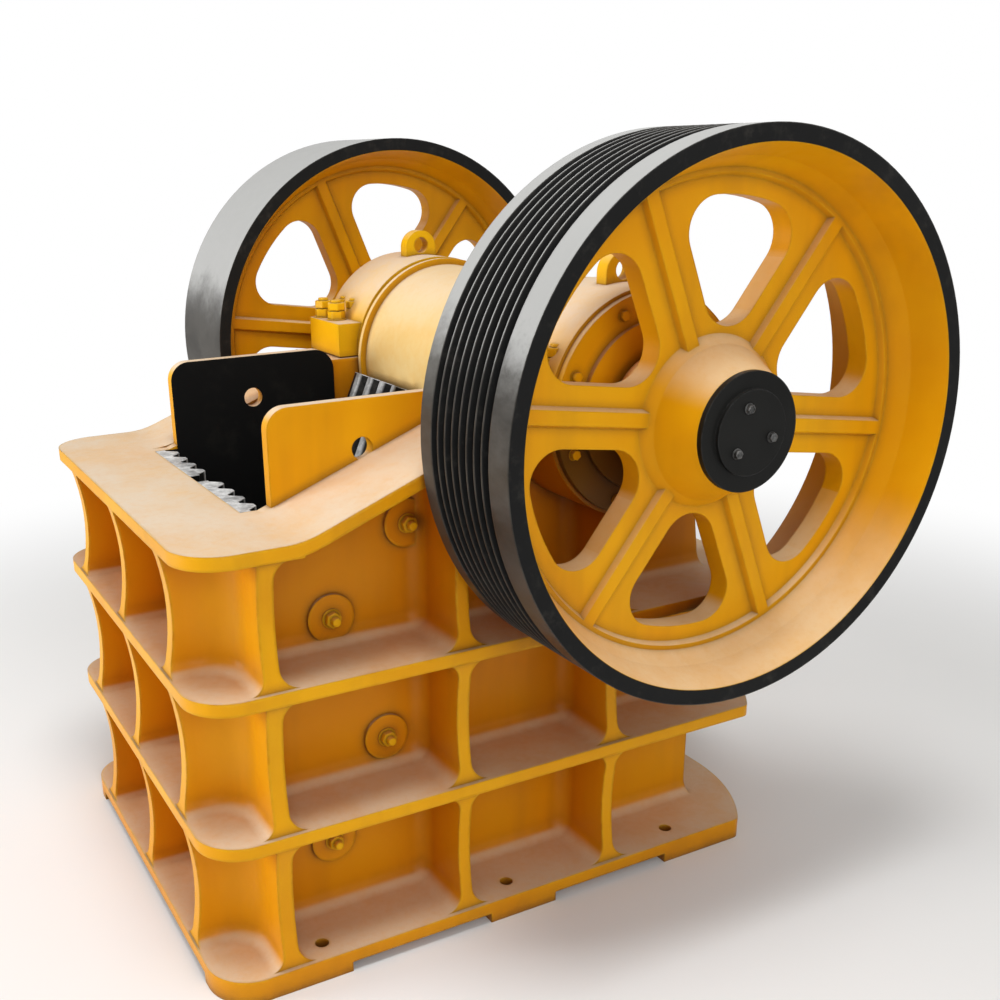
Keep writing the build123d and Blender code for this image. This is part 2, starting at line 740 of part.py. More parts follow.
# toothed wear plates
fixed_width = chamber_width - 2 * fixed_plate_clearance
fixed_back_y = shaft_y + chamber_front_y
fixed_crest_y = fixed_back_y + fixed_plate_thickness
with BuildPart() as fixed_plate:
    with BuildSketch(Plane.XY.offset(fixed_plate_bottom)) as fixed_teeth:
        with BuildLine():
            Polyline(
                *tooth_line(fixed_width, fixed_crest_y, fixed_crest_y - tooth_depth, fixed_back_y),
                close=True,
            )
        make_face()
    extrude(amount=deck_height - fixed_plate_bottom)
    with BuildSketch(Plane.XY.offset(deck_height - plate_notch_depth)) as fixed_notch:
        with Locations((0, (fixed_back_y + fixed_crest_y) / 2)):
            Rectangle(plate_notch_width, 2 * fixed_plate_thickness)
    extrude(amount=plate_notch_depth, mode=Mode.SUBTRACT)
fixed_plate.part.label = "fixed_jaw_plate"
export_step(fixed_plate.part, "parts/fixed_jaw_plate.step")

moving_width = chamber_width - 2 * jaw_side_clearance
with BuildPart() as moving_plate:
    with BuildSketch(jaw_plane) as moving_teeth:
        with BuildLine():
            Polyline(*tooth_line(moving_width, 0, tooth_depth, moving_plate_thickness), close=True)
        make_face()
    extrude(amount=jaw_run)
    with BuildSketch(jaw_plane.offset(jaw_run - plate_notch_depth)) as moving_notch:
        with Locations((0, moving_plate_thickness / 2)):
            Rectangle(plate_notch_width, 2 * moving_plate_thickness)
    extrude(amount=plate_notch_depth, mode=Mode.SUBTRACT)
moving_plate.part.label = "moving_jaw_plate"
export_step(moving_plate.part, "parts/moving_jaw_plate.step")

# cheek plates, an upper and a lower one to each side of the chamber
cheek_line_y = shaft_y + jaw_bottom_y + cheek_cover
cheek_bend_z = jaw_bottom_z + (cheek_rear_y - jaw_bottom_y - cheek_cover) / jaw_slope
upper_foot_z = cheek_split + cheek_split_gap
for side, name in ((-1, "left"), (1, "right")):
    plate_x = chamber_width / 2 if side > 0 else -wall_inner_x
    with BuildPart() as upper_cheek:
        with BuildSketch(Plane.YZ.offset(plate_x)) as upper_shape:
            with BuildLine():
                Polyline(
                    (shaft_y + cheek_front_y, upper_foot_z),
                    (shaft_y + cheek_front_y, cheek_top),
                    (shaft_y + cheek_rear_y, cheek_top),
                    (shaft_y + cheek_rear_y, cheek_bend_z),
                    (cheek_line_y + (upper_foot_z - jaw_bottom_z) * jaw_slope, upper_foot_z),
                    close=True,
                )
            make_face()
            top_corners = upper_shape.vertices().group_by(Axis.Y)[-1].sort_by(Axis.X)
            fillet(top_corners[0], cheek_front_corner)
            fillet(upper_shape.vertices().group_by(Axis.Y)[-1].sort_by(Axis.X)[-1], cheek_rear_corner)
            with Locations((shaft_y + cheek_hole_y, cheek_hole_z)):
                Circle(cheek_hole_radius, mode=Mode.SUBTRACT)
        extrude(amount=cheek_thickness)
    upper_cheek.part.label = "upper_cheek_plate_" + name
    export_step(upper_cheek.part, "parts/upper_cheek_plate_" + name + ".step")
    with BuildPart() as lower_cheek:
        with BuildSketch(Plane.YZ.offset(plate_x)) as lower_shape:
            with BuildLine():
                Polyline(
                    (shaft_y + cheek_front_y, cheek_bottom),
                    (shaft_y + cheek_front_y, cheek_split),
                    (cheek_line_y + (cheek_split - jaw_bottom_z) * jaw_slope, cheek_split),
                    (cheek_line_y + (cheek_bottom - jaw_bottom_z) * jaw_slope, cheek_bottom),
                    close=True,
                )
            make_face()
        extrude(amount=cheek_thickness)
    lower_cheek.part.label = "lower_cheek_plate_" + name
    export_step(lower_cheek.part, "parts/lower_cheek_plate_" + name + ".step")

# toggle plate, its seat and the shims behind it
seat_back_y = rear_in_y - shim_thickness
seat_face_y = seat_back_y - seat_length
with BuildPart() as shims:
    with Locations((0, rear_in_y - shim_thickness / 2, toggle_rear_z)):
        Box(toggle_width, shim_thickness, shim_height)
shims.part.label = "adjusting_shims"
export_step(shims.part, "parts/adjusting_shims.step")

with BuildPart() as toggle_seat:
    with Locations((0, seat_back_y - seat_length / 2, toggle_rear_z)):
        Box(toggle_width, seat_length, seat_height)
toggle_seat.part.label = "toggle_seat"
export_step(toggle_seat.part, "parts/toggle_seat.step")

with BuildPart() as toggle:
    start_y = toggle_front_y + toggle_running_gap
    end_y = seat_face_y - toggle_seat_gap
    with BuildSketch(Plane.YZ) as toggle_shape:
        with BuildLine():
            Polyline(
                (start_y, toggle_front_z - toggle_thickness / 2),
                (start_y, toggle_front_z + toggle_thickness / 2),
                (end_y, toggle_rear_z + toggle_thickness / 2),
                (end_y, toggle_rear_z - toggle_thickness / 2),
                close=True,
            )
        make_face()
    extrude(amount=toggle_width / 2, both=True)
toggle.part.label = "toggle_plate"
export_step(toggle.part, "parts/toggle_plate.step")

# tension rod with its spring behind the rear wall
rod_start = toggle_front_y + rod_front_gap
rod_end = shaft_y + rod_reach
with BuildPart() as rod:
    with BuildSketch(Plane.XZ.offset(-rod_end)) as rod_section:
        with Locations((0, rod_z)):
            Circle(rod_radius)
    extrude(amount=rod_end - rod_start)
rod.part.label = "tension_rod"
export_step(rod.part, "parts/tension_rod.step")

spring_start_y = rear_out_y + rod_washer_thickness
washer_starts = [rear_out_y, spring_start_y + spring_length]
for name, start in zip(("spring_plate_front", "spring_plate_rear"), washer_starts):
    with BuildPart() as washer:
        with BuildSketch(Plane.XZ.offset(-start - rod_washer_thickness)) as washer_shape:
            with Locations((0, rod_z)):
                Circle(rod_washer_radius)
                Circle(rod_radius + rod_fit, mode=Mode.SUBTRACT)
        extrude(amount=rod_washer_thickness)
    washer.part.label = name
    export_step(washer.part, "parts/" + name + ".step")

with BuildPart() as spring:
    with BuildSketch(Plane.XZ.offset(-spring_start_y - spring_length)) as spring_tube:
        with Locations((0, rod_z)):
            Circle(spring_radius + spring_wire)
            Circle(spring_radius - spring_wire, mode=Mode.SUBTRACT)
    extrude(amount=spring_length)
spring.part.label = "tension_spring"
export_step(spring.part, "parts/tension_spring.step")

with BuildPart() as nut:
    nut_start = washer_starts[1] + rod_washer_thickness
    with BuildSketch(Plane.XZ.offset(-nut_start - rod_nut_thickness)) as nut_shape:
        with Locations((0, rod_z)):
            RegularPolygon(rod_nut_radius, 6)
            Circle(rod_radius + rod_fit, mode=Mode.SUBTRACT)
    extrude(amount=rod_nut_thickness)
nut.part.label = "rod_nut"
export_step(nut.part, "parts/rod_nut.step")
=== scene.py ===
import bpy, bmesh, math
from mathutils import Matrix, Vector


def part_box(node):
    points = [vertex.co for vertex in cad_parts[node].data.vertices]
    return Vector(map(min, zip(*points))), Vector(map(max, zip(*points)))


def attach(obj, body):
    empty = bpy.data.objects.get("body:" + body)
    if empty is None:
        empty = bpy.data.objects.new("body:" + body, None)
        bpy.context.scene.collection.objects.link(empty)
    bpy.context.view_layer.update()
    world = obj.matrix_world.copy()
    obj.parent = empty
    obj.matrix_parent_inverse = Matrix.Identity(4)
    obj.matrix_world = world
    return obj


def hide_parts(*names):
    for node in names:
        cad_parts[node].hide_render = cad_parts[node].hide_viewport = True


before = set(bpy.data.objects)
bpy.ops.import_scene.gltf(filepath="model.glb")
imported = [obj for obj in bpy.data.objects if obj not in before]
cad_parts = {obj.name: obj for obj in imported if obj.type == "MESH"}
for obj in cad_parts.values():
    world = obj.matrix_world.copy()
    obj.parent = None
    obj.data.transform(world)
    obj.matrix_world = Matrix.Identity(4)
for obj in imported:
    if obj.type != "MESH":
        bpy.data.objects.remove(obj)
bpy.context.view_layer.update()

print("frame loaded:", len(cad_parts), "nodes")

# places that many finishes and pieces share, in metres
machine = {
    "shaftY": 0.133,
    "shaftZ": 1.121,
    "seatZ": 1.1213,
    "rimBore": 0.494,
    "rimChamfer": (0.5232, 0.5238),
    "cheekInnerX": 0.300,
    "chamberX": 0.328,
    "chamberFront": -0.7905,
    "chamberBack": 0.2855,
    "chamberTop": 0.952,
}
shaftY = machine["shaftY"]
shaftZ = machine["shaftZ"]


def link(tree, a, aSocket, b, bSocket):
    tree.links.new(a.outputs[aSocket], b.inputs[bSocket])


def addNode(tree, kind, **values):
    # values are the node's own settings, and inputs its sockets' values
    node = tree.nodes.new(kind)
    for key, value in values.items():
        if key == "inputs":
            for socket, v in value.items():
                node.inputs[socket].default_value = v
        else:
            setattr(node, key, value)
    return node


def newGroup(name, inputs, outputs):
    group = bpy.data.node_groups.new(name, "ShaderNodeTree")
    for label, default in inputs:
        socket = group.interface.new_socket(label, in_out="INPUT", socket_type="NodeSocketFloat")
        socket.default_value = default
    for label, kind in outputs:
        group.interface.new_socket(label, in_out="OUTPUT", socket_type=kind)
    return group, group.nodes.new("NodeGroupInput"), group.nodes.new("NodeGroupOutput")


def mathNode(tree, operation, a, b=None, clamp=False):
    node = tree.nodes.new("ShaderNodeMath")
    node.operation = operation
    node.use_clamp = clamp
    for index, value in enumerate((a, b)):
        if isinstance(value, (int, float)):
            node.inputs[index].default_value = value
        elif value is not None:
            tree.links.new(value, node.inputs[index])
    return node.outputs[0]


def rangeNode(tree, value, low, high, toLow=0.0, toHigh=1.0, smooth=True):
    node = tree.nodes.new("ShaderNodeMapRange")
    node.interpolation_type = "SMOOTHSTEP" if smooth else "LINEAR"
    tree.links.new(value, node.inputs["Value"])
    node.inputs["From Min"].default_value = low
    node.inputs["From Max"].default_value = high
    node.inputs["To Min"].default_value = toLow
    node.inputs["To Max"].default_value = toHigh
    return node.outputs["Result"]


def between(tree, value, low, high, soft=0.0004):
    # one between low and high, nothing outside
    return mathNode(tree, "MULTIPLY",
                    rangeNode(tree, value, low - soft, low + soft, smooth=False),
                    rangeNode(tree, value, high + soft, high - soft, smooth=False))


def mixColour(tree, factor, a, b):
    # sockets 0, 6 and 7 are the factor and the two colours of a Mix node set to RGBA
    node = tree.nodes.new("ShaderNodeMix")
    node.data_type = "RGBA"
    for socket, value in ((0, factor), (6, a), (7, b)):
        if isinstance(value, (int, float)):
            node.inputs[socket].default_value = value
        elif isinstance(value, (tuple, list)):
            node.inputs[socket].default_value = (*value[:3], 1.0)
        else:
            tree.links.new(value, node.inputs[socket])
    return node.outputs[2]


def noiseNode(tree, coordinates, scale, detail=4.0, roughness=0.6, stretch=None):
    if stretch is not None:
        mapping = addNode(tree, "ShaderNodeMapping", inputs={"Scale": stretch})
        tree.links.new(coordinates, mapping.inputs["Vector"])
        coordinates = mapping.outputs["Vector"]
    settings = {"Scale": scale, "Detail": detail, "Roughness": roughness}
    node = addNode(tree, "ShaderNodeTexNoise", inputs=settings)
    tree.links.new(coordinates, node.inputs["Vector"])
    return node.outputs["Fac"]


def makeEdgeGroup():
    # outer edges, where a rounded normal leaves the true one, broken up by noise, for painted highlights
    # and rubbed wear; and inner corners, for painted shade
    group, groupIn, groupOut = newGroup(
        "edgeWear",
        [("Radius", 0.006), ("Scale", 30.0)],
        [("Mask", "NodeSocketFloat"), ("Crevice", "NodeSocketFloat"), ("Normal", "NodeSocketVector")],
    )
    bevel = addNode(group, "ShaderNodeBevel", samples=1)
    link(group, groupIn, "Radius", bevel, "Radius")
    geometry = addNode(group, "ShaderNodeNewGeometry")
    dot = addNode(group, "ShaderNodeVectorMath", operation="DOT_PRODUCT")
    link(group, bevel, "Normal", dot, 0)
    link(group, geometry, "Normal", dot, 1)
    turned = mathNode(group, "SUBTRACT", 1.0, dot.outputs["Value"])
    coord = addNode(group, "ShaderNodeTexCoord")
    noise = addNode(group, "ShaderNodeTexNoise", inputs={"Detail": 4.0, "Roughness": 0.6})
    link(group, coord, "Object", noise, "Vector")
    link(group, groupIn, "Scale", noise, "Scale")
    # a hollow corner is no edge: there the space in front is closed
    hollow = addNode(group, "ShaderNodeAmbientOcclusion", samples=2, inputs={"Distance": 0.02})
    outward = rangeNode(group, hollow.outputs["AO"], 0.55, 0.85)
    edge = mathNode(group, "MULTIPLY", rangeNode(group, turned, 0.015, 0.14), outward)
    broken = rangeNode(group, noise.outputs["Fac"], 0.30, 0.60)
    # painted shade: the narrow inner corners darkened
    crevice = rangeNode(group, hollow.outputs["AO"], 0.42, 0.80, 1.0, 0.0)
    group.links.new(mathNode(group, "MULTIPLY", edge, broken), groupOut.inputs["Mask"])
    group.links.new(crevice, groupOut.inputs["Crevice"])
    link(group, bevel, "Normal", groupOut, "Normal")
    return group


def makeDustGroup():
    # a pale coat on faces that look up, part settled dust and part painted light from above: thinner
    # where the noise breaks it, none on side faces
    group, groupIn, groupOut = newGroup(
        "settledDust", [("Amount", 1.0), ("Start", 0.35), ("End", 0.95)], [("Mask", "NodeSocketFloat")]
    )
    geometry = addNode(group, "ShaderNodeNewGeometry")
    split = addNode(group, "ShaderNodeSeparateXYZ")
    link(group, geometry, "Normal", split, "Vector")
    coord = addNode(group, "ShaderNodeTexCoord")
    upward = addNode(group, "ShaderNodeMapRange", interpolation_type="SMOOTHSTEP")
    link(group, split, "Z", upward, "Value")
    link(group, groupIn, "Start", upward, "From Min")
    link(group, groupIn, "End", upward, "From Max")
    place = coord.outputs["Object"]
    broad = rangeNode(group, noiseNode(group, place, 6.0, 4.0, 0.62), 0.28, 0.66, 0.70, 1.0)
    fine = rangeNode(group, noiseNode(group, place, 60.0, 3.0, 0.7), 0.25, 0.60, 0.86, 1.0)
    speckled = mathNode(group, "MULTIPLY", broad, fine)
    mask = mathNode(group, "MULTIPLY", upward.outputs["Result"], speckled)
    sideways = mathNode(group, "ABSOLUTE", split.outputs["X"])
    mask = mathNode(group, "MULTIPLY", mask, rangeNode(group, sideways, 0.65, 0.90, 1.0, 0.0))
    group.links.new(
        mathNode(group, "MULTIPLY", mask, groupIn.outputs["Amount"], clamp=True), groupOut.inputs["Mask"]
    )
    return group


def makeCastGroup():
    # thick paint over a sand casting: grain, soft lumps, a colour drift and runs
    group, groupIn, groupOut = newGroup(
        "castGrain",
        [("Grain Scale", 190.0), ("Lump Scale", 22.0)],
        [("Height", "NodeSocketFloat"), ("Drift", "NodeSocketFloat"), ("Runs", "NodeSocketFloat")],
    )
    coord = addNode(group, "ShaderNodeTexCoord")
    place = coord.outputs["Object"]
    fine = addNode(group, "ShaderNodeTexNoise", inputs={"Detail": 1.0, "Roughness": 0.55})
    lumps = addNode(group, "ShaderNodeTexNoise", inputs={"Detail": 2.0, "Roughness": 0.5})
    for node, scale in ((fine, "Grain Scale"), (lumps, "Lump Scale")):
        link(group, coord, "Object", node, "Vector")
        link(group, groupIn, scale, node, "Scale")
    low = mathNode(group, "MULTIPLY", fine.outputs["Fac"], 0.22)
    group.links.new(mathNode(group, "ADD", low, lumps.outputs["Fac"]), groupOut.inputs["Height"])
    drift = noiseNode(group, place, 3.2, 3.0, 0.6)
    group.links.new(rangeNode(group, drift, 0.3, 0.7), groupOut.inputs["Drift"])
    runs = noiseNode(group, place, 9.0, 3.0, 0.6, stretch=(1.0, 1.0, 0.14))
    group.links.new(rangeNode(group, runs, 0.45, 0.72), groupOut.inputs["Runs"])
    return group


def makeHollowGroup():
    # how closed in a place is, the masks for painted shade: near is the inner corners, wide is a whole
    # bay
    group, groupIn, groupOut = newGroup(
        "closedIn",
        [("Near", 0.05), ("Wide", 0.45)],
        [("Corner", "NodeSocketFloat"), ("Bay", "NodeSocketFloat")],
    )
    coord = addNode(group, "ShaderNodeTexCoord")
    blots = noiseNode(group, coord.outputs["Object"], 12.0, 3.0, 0.65)
    patches = rangeNode(group, blots, 0.30, 0.65, 0.35, 1.0)
    near = addNode(group, "ShaderNodeAmbientOcclusion", samples=1)
    wide = addNode(group, "ShaderNodeAmbientOcclusion", samples=2)
    link(group, groupIn, "Near", near, "Distance")
    link(group, groupIn, "Wide", wide, "Distance")
    corner = rangeNode(group, near.outputs["AO"], 0.10, 0.80, 1.0, 0.0)
    group.links.new(mathNode(group, "MULTIPLY", corner, patches), groupOut.inputs["Corner"])
    group.links.new(rangeNode(group, wide.outputs["AO"], 0.20, 0.85, 1.0, 0.0), groupOut.inputs["Bay"])
    return group


edgeWear = makeEdgeGroup()
settledDust = makeDustGroup()
castGrain = makeCastGroup()
closedIn = makeHollowGroup()
print("shared effects made")


def groupNode(tree, group, **inputs):
    node = tree.nodes.new("ShaderNodeGroup")
    node.node_tree = group
    for key, value in inputs.items():
        node.inputs[key].default_value = value
    return node


def startMaterial(name, roughness=0.4, metallic=0.0, coat=0.0, specular=0.12):
    material = bpy.data.materials.new(name)
    material.use_nodes = True
    tree = material.node_tree
    tree.nodes.clear()
    shader = addNode(tree, "ShaderNodeBsdfPrincipled")
    shader.inputs["Roughness"].default_value = roughness
    shader.inputs["Metallic"].default_value = metallic
    shader.inputs["Coat Weight"].default_value = coat
    shader.inputs["Coat Roughness"].default_value = 0.18
    shader.inputs["Specular IOR Level"].default_value = specular
    out = addNode(tree, "ShaderNodeOutputMaterial")
    link(tree, shader, "BSDF", out, "Surface")
    return material, tree, shader


def addBump(tree, shader, height, strength, distance, normal):
    bump = addNode(tree, "ShaderNodeBump", inputs={"Strength": strength, "Distance": distance})
    tree.links.new(height, bump.inputs["Height"])
    tree.links.new(normal, bump.inputs["Normal"])
    link(tree, bump, "Normal", shader, "Normal")


def objectParts(tree):
    # the object coordinates, whole and as x, y and z
    coord = addNode(tree, "ShaderNodeTexCoord")
    split = addNode(tree, "ShaderNodeSeparateXYZ")
    link(tree, coord, "Object", split, "Vector")
    return coord.outputs["Object"], split.outputs["X"], split.outputs["Y"], split.outputs["Z"]


def shaftRadius(tree, y, z):
    # distance from the shaft's axis
    up = mathNode(tree, "SUBTRACT", z, shaftZ)
    back = mathNode(tree, "SUBTRACT", y, shaftY)
    backSquare = mathNode(tree, "MULTIPLY", back, back)
    upSquare = mathNode(tree, "MULTIPLY", up, up)
    return mathNode(tree, "SQRT", mathNode(tree, "ADD", backSquare, upSquare))


paint = {
    "lit": (0.790, 0.385, 0.003),
    "deep": (0.720, 0.315, 0.002),
    "fresh": (0.810, 0.425, 0.003),
    "freshLit": (0.880, 0.510, 0.005),
    "closed": (0.560, 0.155, 0.002),
    "edge": (0.900, 0.530, 0.020),
    "grime": (0.130, 0.050, 0.014),
    "dust": (0.720, 0.585, 0.440),
    "dirt": (0.620, 0.395, 0.205),
}
# how strongly runs, the painted shade in inner corners and the painted highlight on rounded edges show
# over the paint
marks = {"runs": 0.13, "crevice": 0.65, "edge": 0.75}
cleanRoughness = 0.36
dustyRoughness = 0.75


def paintColour(tree, dustAmount=1.0, grimeAmount=1.0, dustStart=0.35, dustEnd=0.95, closedAmount=0.95,
                dirtAmount=0.9, dustTone=None, edgeWidth=0.006, tones=("deep", "lit")):
    cast = groupNode(tree, castGrain)
    dust = groupNode(tree, settledDust, Amount=dustAmount, Start=dustStart, End=dustEnd)
    edge = groupNode(tree, edgeWear, Radius=edgeWidth)
    hollow = groupNode(tree, closedIn)
    colour = mixColour(tree, cast.outputs["Drift"], paint[tones[0]], paint[tones[1]])
    # painted shade: deep in the bays the paint turns darker and more orange
    closed = mathNode(tree, "MULTIPLY", hollow.outputs["Bay"], closedAmount)
    colour = mixColour(tree, closed, colour, paint["closed"])
    runs = mathNode(tree, "MULTIPLY", cast.outputs["Runs"], marks["runs"])
    colour = mixColour(tree, runs, colour, paint["grime"])
    # painted shade: the inner corners darkened, broken into blots
    grime = mathNode(tree, "MULTIPLY", hollow.outputs["Corner"], grimeAmount)
    colour = mixColour(tree, grime, colour, paint["grime"])
    # deep in the bays the settled colour turns darker and browner: part dirtier dust, part painted shade
    dirty = mathNode(tree, "MULTIPLY", hollow.outputs["Bay"], dirtAmount)
    settled = mixColour(tree, dirty, dustTone or paint["dust"], paint["dirt"])
    # faces that look up turn pale: part settled dust, part painted light from above
    colour = mixColour(tree, dust.outputs["Mask"], colour, settled)
    # painted shade in the narrow inner corners
    crevice = mathNode(tree, "MULTIPLY", edge.outputs["Crevice"], marks["crevice"])
    colour = mixColour(tree, crevice, colour, paint["grime"])
    # painted highlight: the rounded edges turn brighter yellow, as where they catch the light
    worn = mathNode(tree, "MULTIPLY", edge.outputs["Mask"], marks["edge"])
    colour = mixColour(tree, worn, colour, paint["edge"])
    return colour, cast, dust, edge


def paintRoughness(tree, dust):
    return rangeNode(tree, dust.outputs["Mask"], 0.0, 0.8, cleanRoughness, dustyRoughness)


def makePaint(name, bump=0.16, seam=None, topDust=0.0, **amounts):
    # seam: the height of a joint whose lower edge gathers dirt; the top coat: a second, paler coat on
    # top, part dust and part painted light from above
    material, tree, shader = startMaterial(name, roughness=0.4, coat=0.03)
    colour, cast, dust, edge = paintColour(tree, **amounts)
    if topDust > 0:
        above = groupNode(tree, settledDust, Amount=topDust, Start=0.30, End=0.95)
        colour = mixColour(tree, above.outputs["Mask"], colour, paint["dust"])
    if seam is not None:
        height = objectParts(tree)[3]
        line = mathNode(tree, "MULTIPLY", rangeNode(tree, height, seam + 0.0045, seam + 0.0020), 0.85)
        colour = mixColour(tree, line, colour, (0.05, 0.02, 0.01))
    tree.links.new(colour, shader.inputs["Base Color"])
    tree.links.new(paintRoughness(tree, dust), shader.inputs["Roughness"])
    addBump(tree, shader, cast.outputs["Height"], bump, 0.004, edge.outputs["Normal"])
    return material


chamberTones = {"dark": (0.010, 0.009, 0.008), "worn": (0.060, 0.045, 0.030)}


def makeFramePaint(name):
    # yellow outside, dark and worn inside the chamber
    material, tree, shader = startMaterial(name, roughness=0.4, coat=0.03)
    place, x, y, z = objectParts(tree)
    # the frame's wider edge mask paints a broader highlight along its rounded cast edges
    colour, cast, dust, edge = paintColour(tree, edgeWidth=0.010)
    across = between(tree, mathNode(tree, "ABSOLUTE", x), -1.0, machine["chamberX"])
    along = between(tree, y, shaftY + machine["chamberFront"], shaftY + machine["chamberBack"])
    top = machine["chamberTop"]
    below = rangeNode(tree, z, top + 0.0005, top - 0.0005, smooth=False)
    inside = mathNode(tree, "MULTIPLY", mathNode(tree, "MULTIPLY", across, along), below)
    scuffs = rangeNode(tree, noiseNode(tree, place, 9.0, 7.0, 0.7), 0.42, 0.75)
    dark = mixColour(tree, scuffs, chamberTones["dark"], chamberTones["worn"])
    tree.links.new(mixColour(tree, inside, colour, dark), shader.inputs["Base Color"])
    tree.links.new(paintRoughness(tree, dust), shader.inputs["Roughness"])
    addBump(tree, shader, cast.outputs["Height"], 0.20, 0.004, edge.outputs["Normal"])
    return material


wheelTones = {
    "dust": (0.86, 0.66, 0.40),
    "black": (0.006, 0.006, 0.006), "scuffed": (0.026, 0.024, 0.021),
    "steel": (0.030, 0.027, 0.023), "smeared": (0.085, 0.080, 0.072), "pale": (0.400, 0.400, 0.390),
}


def makeWheelPaint(name):
    # yellow inside; black side faces and grooves; bare steel round the rim, with a painted reflection of
    # the light above that makes it pale where it looks up
    material, tree, shader = startMaterial(name, roughness=0.4, coat=0.03)
    place, x, y, z = objectParts(tree)
    radius = shaftRadius(tree, y, z)
    colour, cast, dust, edge = paintColour(
        tree, dustAmount=0.85, grimeAmount=0.5, dustEnd=0.85, closedAmount=0.25, dirtAmount=0.0,
        dustTone=wheelTones["dust"])
    bore = machine["rimBore"]
    rimFaces = rangeNode(tree, radius, bore, bore + 0.001, smooth=False)
    outside = rangeNode(tree, radius, *machine["rimChamfer"], smooth=False)
    scuffed = rangeNode(tree, noiseNode(tree, place, 24.0, 6.0, 0.7), 0.5, 0.8)
    black = mixColour(tree, scuffed, wheelTones["black"], wheelTones["scuffed"])
    colour = mixColour(tree, rimFaces, colour, black)
    streaks = noiseNode(tree, place, 5.0, 7.0, 0.68, stretch=(0.5, 1.0, 1.0))
    smears = rangeNode(tree, streaks, 0.32, 0.70)
    steel = mixColour(tree, smears, wheelTones["steel"], wheelTones["smeared"])
    # painted reflection: the steel turns pale where it looks up, as if mirroring the bright light above,
    # broken into patches
    lookUp = groupNode(tree, settledDust, Amount=1.0, Start=0.02, End=0.62)
    patches = noiseNode(tree, place, 14.0, 6.0, 0.68, stretch=(0.6, 1.0, 1.0))
    pale = mathNode(tree, "ADD", lookUp.outputs["Mask"], mathNode(tree, "MULTIPLY", patches, 0.36))
    # the plain wheel stands clear of the belts' dirt
    pale = mathNode(tree, "ADD", pale, rangeNode(tree, x, 0.01, -0.01, 0.0, 0.11, smooth=False))
    steel = mixColour(tree, rangeNode(tree, pale, 0.36, 0.88), steel, wheelTones["pale"])
    colour = mixColour(tree, outside, colour, steel)
    tree.links.new(colour, shader.inputs["Base Color"])
    tree.links.new(mathNode(tree, "MULTIPLY", outside, 0.35), shader.inputs["Metallic"])
    rough = rangeNode(tree, smears, 0.0, 1.0, 0.32, 0.46)
    rough = mathNode(tree, "ADD", rough, rangeNode(tree, dust.outputs["Mask"], 0.0, 0.8, 0.0, 0.25))
    painted = mathNode(tree, "MULTIPLY", rimFaces, mathNode(tree, "SUBTRACT", 1.0, outside))
    rough = mathNode(tree, "ADD", rough, mathNode(tree, "MULTIPLY", painted, 0.22))
    tree.links.new(rough, shader.inputs["Roughness"])
    addBump(tree, shader, cast.outputs["Height"], 0.12, 0.003, edge.outputs["Normal"])
    return material


def makeSteel(name, light=(0.50, 0.50, 0.49), dark=(0.22, 0.22, 0.21), roughness=0.42, metallic=0.6,
              scale=22.0):
    # steel with rubbed edges and painted shade darkening its inner corners
    material, tree, shader = startMaterial(name, roughness=roughness, metallic=metallic)
    coord = addNode(tree, "ShaderNodeTexCoord")
    noise = noiseNode(tree, coord.outputs["Object"], scale, 6.0, 0.7)
    colour = mixColour(tree, rangeNode(tree, noise, 0.32, 0.68), dark, light)
    edge = groupNode(tree, edgeWear, Radius=0.003, Scale=40.0)
    hollow = groupNode(tree, closedIn, Near=0.03, Wide=0.2)
    # painted shade: the inner corners darkened
    colour = mixColour(tree, hollow.outputs["Corner"], colour, (0.03, 0.022, 0.015))
    colour = mixColour(tree, edge.outputs["Mask"], colour, tuple(min(1.0, c * 1.5) for c in light))
    tree.links.new(colour, shader.inputs["Base Color"])
    rough = rangeNode(tree, noise, 0.3, 0.7, roughness - 0.08, roughness + 0.1)
    tree.links.new(rough, shader.inputs["Roughness"])
    addBump(tree, shader, noise, 0.15, 0.002, edge.outputs["Normal"])
    return material


toothTones = {
    "rubbed": (0.26, 0.26, 0.26), "bright": (0.78, 0.78, 0.77),
    "valley": (0.005, 0.005, 0.005), "dusty": (0.035, 0.032, 0.028),
}


def makeToothSteel(name, tip):
    # cast manganese steel: nearly black in the valleys, rubbed grey on the crests and the upper ends
    # tip: a point at the foot of the crests, the ways into the plate and up it, and its length
    material, tree, shader = startMaterial(name, roughness=0.45, metallic=0.35)
    place, _, y, z = objectParts(tree)
    back = mathNode(tree, "SUBTRACT", y, tip["point"][0])
    high = mathNode(tree, "SUBTRACT", z, tip["point"][1])

    def distance(way):
        partBack = mathNode(tree, "MULTIPLY", back, way[0])
        return mathNode(tree, "ADD", partBack, mathNode(tree, "MULTIPLY", high, way[1]))

    depth = distance(tip["inward"])
    along = distance(tip["upward"])
    crest = rangeNode(tree, depth, 0.007, 0.001)
    end = rangeNode(tree, along, tip["length"] - 0.002, tip["length"] - 0.0005)
    noise = noiseNode(tree, place, 30.0, 6.0, 0.72)
    rub = rangeNode(tree, noise, 0.3, 0.7)
    bright = mixColour(tree, rub, toothTones["rubbed"], toothTones["bright"])
    settled = rangeNode(tree, noise, 0.4, 0.75)
    dark = mixColour(tree, settled, toothTones["valley"], toothTones["dusty"])
    rubbed = mathNode(tree, "MAXIMUM", mathNode(tree, "MULTIPLY", crest, 0.75), end)
    edge = groupNode(tree, edgeWear, Radius=0.003, Scale=40.0)
    rubbed = mathNode(tree, "MAXIMUM", rubbed, edge.outputs["Mask"])
    tree.links.new(mixColour(tree, rubbed, dark, bright), shader.inputs["Base Color"])
    tree.links.new(rangeNode(tree, noise, 0.3, 0.7, 0.36, 0.58), shader.inputs["Roughness"])
    addBump(tree, shader, noise, 0.25, 0.003, edge.outputs["Normal"])
    return material


blackTones = {"base": (0.004, 0.004, 0.0036), "dust": (0.30, 0.28, 0.25), "worn": (0.09, 0.09, 0.09)}


